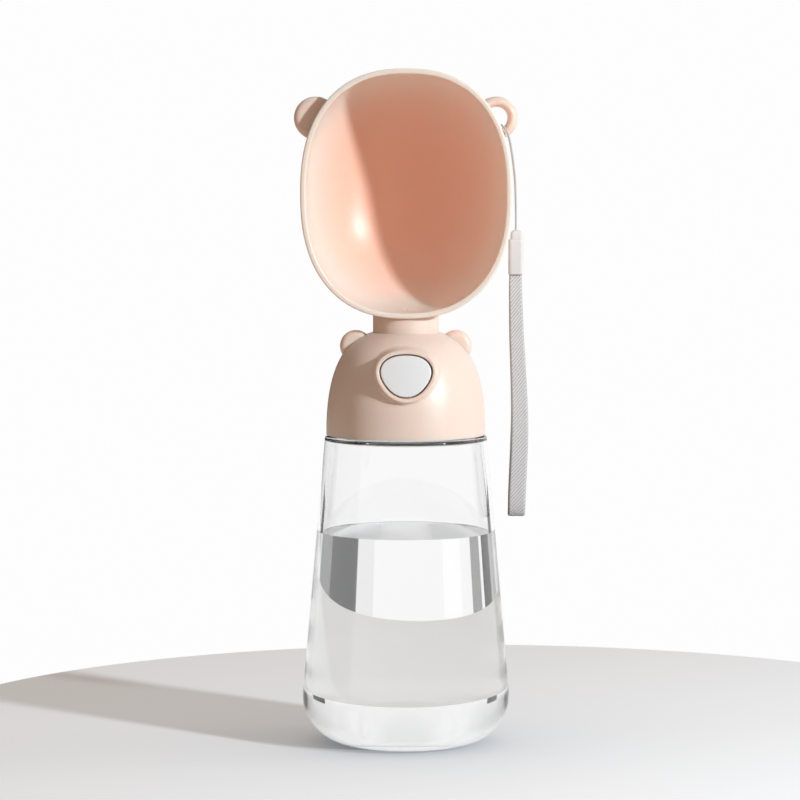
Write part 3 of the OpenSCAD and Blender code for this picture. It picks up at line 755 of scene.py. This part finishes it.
bowlSet = {"a": 38.7, "b": 45.7, "z": 204.4, "depth": 48.0, "lip": -14.0, "power": 2.37, "depthPower": 2.6,
           "wall": 2.0, "round": 0.6, "segments": 288, "rings": 72, "crowd": 1.4, "last": 89.6, "lipRows": 8,
           "coarse": 96, "coarseRings": 28, "ahead": 3}
bowlEarSet = {"x": 33.2, "y": -2.7, "z": 232, "radius": 7.9, "thick": 11.0, "round": 2.2, "eye": 4.1,
              "ringThick": 6.0, "ringRows": 40, "steps": 96}
neckSet = {"radius": 12.2, "low": 146.2, "high": 170, "round": 0.5, "wall": 1.8, "hollowTop": 158.2,
           "groove": 1.9, "grooveHigh": 1.6, "grooveDeep": 0.9, "tube": 3.2, "tubeLow": 142.5, "bore": 1.5,
           "boreTop": 160.2, "spout": 0.8, "rows": 24, "steps": 160, "spoutSteps": 32}


def signedPow(value, power):
    return math.copysign(abs(value) ** power, value)


def bowlRing(a, b, y, count=bowlSet["segments"]):
    s = bowlSet
    places = []
    for i in range(count):
        t = math.tau * i / count
        places.append(Vector((a * signedPow(math.cos(t), 2 / s["power"]), y,
                              s["z"] + b * signedPow(math.sin(t), 2 / s["power"]))))
    return places


# rings from just behind the lip to the middle of the back
def bowlRings(inset, steps=bowlSet["rings"], count=bowlSet["segments"]):
    s = bowlSet
    rings = []
    for i in range(steps + 1):
        f = math.radians(s["last"] * (i / steps) ** s["crowd"])
        scale = math.cos(f) ** (2 / s["depthPower"])
        y = s["lip"] + s["round"] + (s["depth"] - inset - s["round"]) * math.sin(f) ** (2 / s["depthPower"])
        rings.append(bowlRing((s["a"] - inset) * scale, (s["b"] - inset) * scale, y, count))
    return rings


# true on the lip and inside the middle of the bowl's wall
def inHollow(place):
    s = bowlSet
    deep = (place.y - s["lip"] - s["round"]) / (s["depth"] - s["wall"] / 2 - s["round"])
    if deep < 0:
        return True
    if deep >= 1:
        return False
    scale = (1 - deep ** s["depthPower"]) ** (1 / s["depthPower"])
    across = abs(place.x) / (s["a"] - s["wall"] / 2) / scale
    along = abs(place.z - s["z"]) / (s["b"] - s["wall"] / 2) / scale
    return across ** s["power"] + along ** s["power"] < 1


# half the section of a flat round ear with a rounded edge
def discProfile(e):
    top = e["thick"] / 2
    flat = e["radius"] - e["round"]
    lower = arcPoints(flat, e["round"] - top, e["round"], -90, 0, 10)
    upper = arcPoints(flat, top - e["round"], e["round"], 0, 90, 10)
    lower = [(0, -top)] + linePoints((0, -top), (flat, -top), 4) + lower
    return lower + upper + linePoints((flat, top), (0, top), 4) + [(0, top)]


# the neck with its O-ring's groove, hollow below, and the water tube in the middle
def neckProfile(n):
    low = n["low"] + n["groove"]
    high = low + n["grooveHigh"]
    inner = n["radius"] - n["wall"]
    places = [(n["spout"], n["high"]), (n["radius"], n["high"])]
    places += linePoints((n["radius"], n["high"]), (n["radius"], high), n["rows"]) + [(n["radius"], high)]
    grooved = n["radius"] - n["grooveDeep"]
    places += [(grooved, high), (grooved, low), (n["radius"], low)]
    places += arcPoints(n["radius"] - n["round"], n["low"] + n["round"], n["round"], 0, -90, 6)
    places += [(inner, n["low"]), (inner, n["hollowTop"])]
    places += [(n["tube"], n["hollowTop"]), (n["tube"], n["tubeLow"]), (n["bore"], n["tubeLow"])]
    return places + [(n["bore"], n["boreTop"]), (n["spout"], n["boreTop"]), places[0]]


def makeBowl(material, outside):
    s = bowlSet
    outer = bowlRings(0)
    inner = bowlRings(s["wall"])
    lip, turns = [], s["lipRows"]
    for k in range(1, turns + 1):
        a = math.radians(90 * k / turns)
        back = s["round"] * (1 - math.sin(a))
        grow = -s["round"] * (1 - math.cos(a))
        lip.append(bowlRing(s["a"] + grow, s["b"] + grow, s["lip"] + back))
    for k in range(turns):
        a = math.radians(90 * k / turns)
        back = s["round"] * (1 - math.cos(a))
        grow = -s["wall"] + s["round"] * (1 - math.sin(a))
        lip.append(bowlRing(s["a"] + grow, s["b"] + grow, s["lip"] + back))
    bm = bmesh.new()
    gridRings(bm, outer[::-1] + lip + inner, closeStart=True, closeEnd=True)
    shell = meshOf(bm)

    # a block that fills the hollow up to the middle of the wall, to trim what is joined to the outside
    half, coarse = s["wall"] / 2, s["coarse"]
    bm = bmesh.new()
    front = [bowlRing(s["a"] - half, s["b"] - half, s["lip"] - s["ahead"], coarse)]
    gridRings(bm, front + bowlRings(half, s["coarseRings"], coarse), closeStart=True, closeEnd=True)
    core = meshOf(bm)
    e = bowlEarSet
    parts = []
    for side in (-1, 1):
        if side > 0:
            bar = (e["radius"] - e["eye"]) / 2
            turn = [math.tau * k / e["ringRows"] for k in range(e["ringRows"] + 1)]
            rim = [(e["eye"] + bar + bar * math.cos(a), e["ringThick"] / 2 * math.sin(a)) for a in turn]
        else:
            rim = discProfile(e)
        parts.append(cutMesh(spunMesh(rim, e["steps"], (side * e["x"], e["y"], e["z"]), "Y"), core))
    n = neckSet
    hole = [(0, n["boreTop"]), (n["spout"], n["boreTop"]), (n["spout"], n["high"]), (0, n["high"])]
    shell = cutMesh(shell, spunMesh(hole, n["spoutSteps"], (0, 0, 0)))
    parts.append(cutMesh(spunMesh(neckProfile(n), n["steps"], (0, 0, 0)), core))
    bm = bmesh.new()
    for part in [shell] + parts:
        bm.from_mesh(part)
    # the lip and the inside get the paler pink with painted light and shade, the outside gets the cap's pink
    for face in bm.faces:
        face.material_index = 0 if inHollow(face.calc_center_median() / mm) else 1
    made = finishMesh(bm, "bowlShell", "bowl_body", "pink_plastic", material, outside, weld=0)
    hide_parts("bowl")


# painted shade inside the bowl, from a little behind the lip to just past the back
bowlPaintedShadeSpan = (bowlSet["lip"] + pinkSet["shadeFrom"], bowlSet["lip"] + bowlSet["depth"] + pinkSet["shadePast"])
bowlPaintedLightShade = pinkMaterial("bowlPaintedLightShade", pinkSet["bowl"], bowlPaintedShadeSpan)
makeBowl(bowlPaintedLightShade, capPink)
print("bowl made")


# cap, button and valve spring

capSet = {"radius": 29.5, "height": 38.8, "edge": 115.2, "wall": 2.1, "side": 3.3, "crown": 2.35,
          "hole": 12.3, "holeRound": 0.35, "holeRows": (151.5, 150, 148), "collar": 14.5,
          "collarLow": 145.9, "steps": 288, "rows": 130, "samples": 2000, "crowd": 1.5, "coreRows": 60,
          "coreTop": 0.3, "coreDrop": 2, "coreSteps": 128}
capEarSet = {"x": 18.5, "y": -0.5, "z": 147.9, "radius": 5.9, "thick": 6.0, "round": 2.2, "steps": 80}
noseSet = {"w": 18.2, "h": 15.0, "z": 139.0, "face": -28.4, "tilt": 14, "lobe": 0.058, "lobeTurn": 30,
           "gap": 0.5, "bezel": 1.5, "fillet": 1.6, "bend": 0.2, "outerRound": 0.6, "innerRound": 0.35,
           "holeLow": 126.4, "holeHigh": 151.2, "holeAngle": 33, "skinRows": 10, "crowd": 1.3,
           "filletRows": 12, "outerRows": 8, "innerRows": 6, "depthRows": 3, "seam": 0.004}
buttonSet = {"crown": 70, "sunk": 0.1, "round": 0.5, "steps": 180, "edgeRows": 8,
             "skirt": (-18.6, -19.5, -21, -23), "rows": (0.9, 0.75, 0.6, 0.45, 0.3, 0.15, 0.03)}
springSet = {"radius": 3.1, "wire": 0.5, "turns": 5, "z": 139, "low": 7.63, "high": 13.97, "seat": 14.0,
             "press": 2.5, "steps": 180, "sides": 12}


def capRadius(inset, t):
    s = capSet
    return ((s["radius"] - inset) * math.cos(t) ** (2 / s["side"]),
            s["edge"] + (s["height"] - inset) * math.sin(t) ** (2 / s["crown"]))


def capRadiusAt(z, inset=0.0):
    s = capSet
    rise = min(1, max(0, (z - s["edge"]) / (s["height"] - inset)))
    t = math.asin(min(1, rise ** (s["crown"] / 2)))
    return (s["radius"] - inset) * math.cos(t) ** (2 / s["side"])


# how far forward the cap's skin lies at a place seen from the front
def capSkin(x, z, inset=0.0):
    return -math.sqrt(capRadiusAt(z, inset) ** 2 - x * x)


# the cap's side from its edge up to a hole of a given radius in its crown
def capProfile(inset, count, stop):
    s = capSet
    turns = [90 * (i / s["samples"]) ** s["crowd"] for i in range(s["samples"] + 1)]
    whole = [capRadius(inset, math.radians(turn)) for turn in turns]
    kept = [p for p in whole if p[0] > stop]
    lengths = [0]
    for p, q in zip(kept, kept[1:]):
        lengths.append(lengths[-1] + math.dist(p, q))
    out, k = [], 0
    for i in range(count):
        want = lengths[-1] * i / (count - 1)
        while k < len(kept) - 2 and lengths[k + 1] < want:
            k += 1
        t = (want - lengths[k]) / max(1e-9, lengths[k + 1] - lengths[k])
        out.append(tuple(p + (q - p) * t for p, q in zip(kept[k], kept[k + 1])))
    return out


def nosePoint(angle, grow):
    s = noseSet
    r = 1 + s["lobe"] * math.cos(3 * (angle - math.radians(s["lobeTurn"])))
    return ((s["w"] / 2 * r + grow) * math.cos(angle), s["z"] + (s["h"] / 2 * r + grow) * math.sin(angle))


def noseFaceY(z):
    s = noseSet
    return s["face"] + math.tan(math.radians(s["tilt"])) * (z - s["z"])


# rings from a hole's boundary in the cap's skin down to the button's opening
def noseRings(boundary):
    s = capSet
    n = noseSet
    grown = n["gap"] + n["bezel"]
    rings = [[Vector((x, capSkin(x, z), z)) for x, z in boundary]]
    angles = [math.atan2((z - n["z"]) / n["h"], x / n["w"]) for x, z in boundary]
    feet = [nosePoint(a, grown + n["fillet"]) for a in angles]

    # over the skin towards the frame, closer together near it
    for k in range(1, n["skinRows"] + 1):
        t = 1 - (1 - k / n["skinRows"]) ** n["crowd"]
        ring = []
        for (x, z), foot in zip(boundary, feet):
            x, z = x + (foot[0] - x) * t, z + (foot[1] - z) * t
            ring.append(Vector((x, capSkin(x, z), z)))
        rings.append(ring)

    # a fillet up to the frame, then its outer and inner edges
    skinEnd = rings[-1]
    for k in range(1, n["filletRows"] + 1):
        t = k / n["filletRows"]
        ring = []
        for a, start in zip(angles, skinEnd):
            x, z = nosePoint(a, grown + n["bend"])
            bend = Vector((x, capSkin(x, z), z))
            x, z = nosePoint(a, grown)
            end = Vector((x, noseFaceY(z) + n["outerRound"], z))
            ring.append((1 - t) ** 2 * start + 2 * t * (1 - t) * bend + t * t * end)
        rings.append(ring)
    for k in range(1, n["outerRows"] + 1):
        t, r = math.radians(90 * k / n["outerRows"]), n["outerRound"]
        places = [nosePoint(a, grown - r * (1 - math.cos(t))) for a in angles]
        rings.append([Vector((x, noseFaceY(z) + r * (1 - math.sin(t)), z)) for x, z in places])
    for k in range(n["innerRows"] + 1):
        t, r = math.radians(90 * k / n["innerRows"]), n["innerRound"]
        places = [nosePoint(a, n["gap"] + r * (1 - math.sin(t))) for a in angles]
        rings.append([Vector((x, noseFaceY(z) + r * (1 - math.cos(t)), z)) for x, z in places])

    # the opening, through to the inside of the wall
    for k in range(1, n["depthRows"] + 1):
        places = [nosePoint(a, n["gap"]) for a in angles]
        ring = []
        for x, z in places:
            start = noseFaceY(z) + n["innerRound"]
            end = capSkin(x, z, s["wall"])
            ring.append(Vector((x, start + (end - start) * k / n["depthRows"], z)))
        rings.append(ring)
    return rings


def makeDome(material):
    s = capSet
    n = noseSet
    outer = capProfile(0, s["rows"], s["hole"] + s["holeRound"])
    inner = capProfile(s["wall"], s["rows"] // 2, s["collar"])

    # the outer skin, with an opening for the rings round the button
    bm = bmesh.new()
    spinProfile(bm, outer, s["steps"])
    bmesh.ops.remove_doubles(bm, verts=bm.verts, dist=weldDist)
    gone = []
    for face in bm.faces:
        middle = face.calc_center_median() / mm
        turned = abs(math.degrees(math.atan2(middle.x, -middle.y)))
        if n["holeLow"] < middle.z < n["holeHigh"] and turned < n["holeAngle"]:
            gone.append(face)
    bmesh.ops.delete(bm, geom=gone, context="FACES")
    rim = {v for e in bm.edges if e.is_boundary for v in e.verts if v.co.y < 0
           and n["holeLow"] - 1 < v.co.z / mm < n["holeHigh"] + 1}
    boundary = sorted(((v.co.x / mm, v.co.z / mm) for v in rim),
                      key=lambda p: math.atan2((p[1] - n["z"]) / n["h"], p[0] / n["w"]))
    gridRings(bm, noseRings(boundary))
    bmesh.ops.remove_doubles(bm, verts=bm.verts, dist=n["seam"] * mm)

    # the hole in the crown, its collar and the inside
    top = outer[-1]
    edge = s["holeRound"]
    down = arcPoints(s["hole"] + edge, top[1] - edge, edge, 90, 180, 4)
    down += [(s["hole"], z) for z in (*s["holeRows"], s["collarLow"])]
    inside = [(s["collar"], s["collarLow"])] + inner[::-1]
    foot = [(inner[0][0], s["edge"]), (outer[0][0], s["edge"])]
    spinProfile(bm, down, s["steps"])
    spinProfile(bm, [down[-1]] + inside + foot, s["steps"])
    bmesh.ops.remove_doubles(bm, verts=bm.verts, dist=weldDist)
    shell = bpy.data.meshes.new("work")
    bm.to_mesh(shell)
    bm.free()

    # the ears, trimmed at the middle of the wall
    half = s["wall"] / 2
    low = s["edge"] - s["coreDrop"]
    core = [(0, low), (s["radius"] - half, low)] + capProfile(half, s["coreRows"], s["coreTop"])
    core.append((0, core[-1][1]))
    coreMesh = spunMesh(core, s["coreSteps"], (0, 0, 0))
    dome = bmesh.new()
    dome.from_mesh(shell)
    e = capEarSet
    for side in (-1, 1):
        ear = spunMesh(discProfile(e), e["steps"], (side * e["x"], e["y"], e["z"]), "Y")
        dome.from_mesh(cutMesh(ear, coreMesh))
    made = finishMesh(dome, "capDome", "cap_body", "pink_plastic", material, weld=0)
    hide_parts("dome_shell")


def makeButton(material):
    n = noseSet
    s = buttonSet
    centre = Vector((0, n["face"] - s["sunk"] + s["crown"] * math.cos(math.radians(n["tilt"])),
                     n["z"] - s["crown"] * math.sin(math.radians(n["tilt"]))))
    angles = [math.tau * i / s["steps"] for i in range(s["steps"])]

    # the button's face is part of a ball
    def faceY(x, z):
        return centre.y - math.sqrt(s["crown"] ** 2 - x * x - (z - centre.z) ** 2)

    outline = [nosePoint(a, 0) for a in angles]
    rings = [[Vector((x, y, z)) for x, z in outline] for y in s["skirt"]]
    r = s["round"]
    for k in range(s["edgeRows"] + 1):
        t = math.radians(90 * k / s["edgeRows"])
        places = [nosePoint(a, -r * (1 - math.cos(t))) for a in angles]
        rings.append([Vector((x, faceY(x, z) + r * (1 - math.sin(t)), z)) for x, z in places])
    flat = [nosePoint(a, -r) for a in angles]
    for shrink in s["rows"]:
        places = [(x * shrink, n["z"] + (z - n["z"]) * shrink) for x, z in flat]
        rings.append([Vector((x, faceY(x, z), z)) for x, z in places])
    bm = bmesh.new()
    gridRings(bm, rings, closeStart=True, closeEnd=True)
    made = finishMesh(bm, "noseButton", "button_body", "button_plastic", material)
    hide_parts("nose_button")


# the valve's coil at rest; nothing here shortens it as the button goes in
def makeSpring(material):
    s = springSet
    half = s["wire"] / 2
    rings = []
    for i in range(s["steps"] + 1):
        a = math.tau * s["turns"] * i / s["steps"]
        y = s["low"] + half + (s["high"] - s["low"] - s["wire"]) * i / s["steps"]
        ring = []
        for k in range(s["sides"]):
            b = math.tau * k / s["sides"]
            r = s["radius"] + half * math.cos(b)
            ring.append(Vector((r * math.cos(a), y + half * math.sin(b), s["z"] + r * math.sin(a))))
        rings.append(ring)
    bm = bmesh.new()
    gridRings(bm, rings, closeStart=True, closeEnd=True)
    made = finishMesh(bm, "valveSpring", "cap_body", "stainless", material)
    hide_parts("valve_spring")
    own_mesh(made)


makeDome(capPink)
makeButton(button)
makeSpring(steel)
print("cap made")

scene.view_settings.view_transform = "Standard"
scene.cycles.caustics_refractive = False
scene.cycles.max_bounces = 20
scene.cycles.diffuse_bounces = 10
scene.cycles.transmission_bounces = 16
scene.cycles.glossy_bounces = 8
scene.cycles.transparent_max_bounces = 24
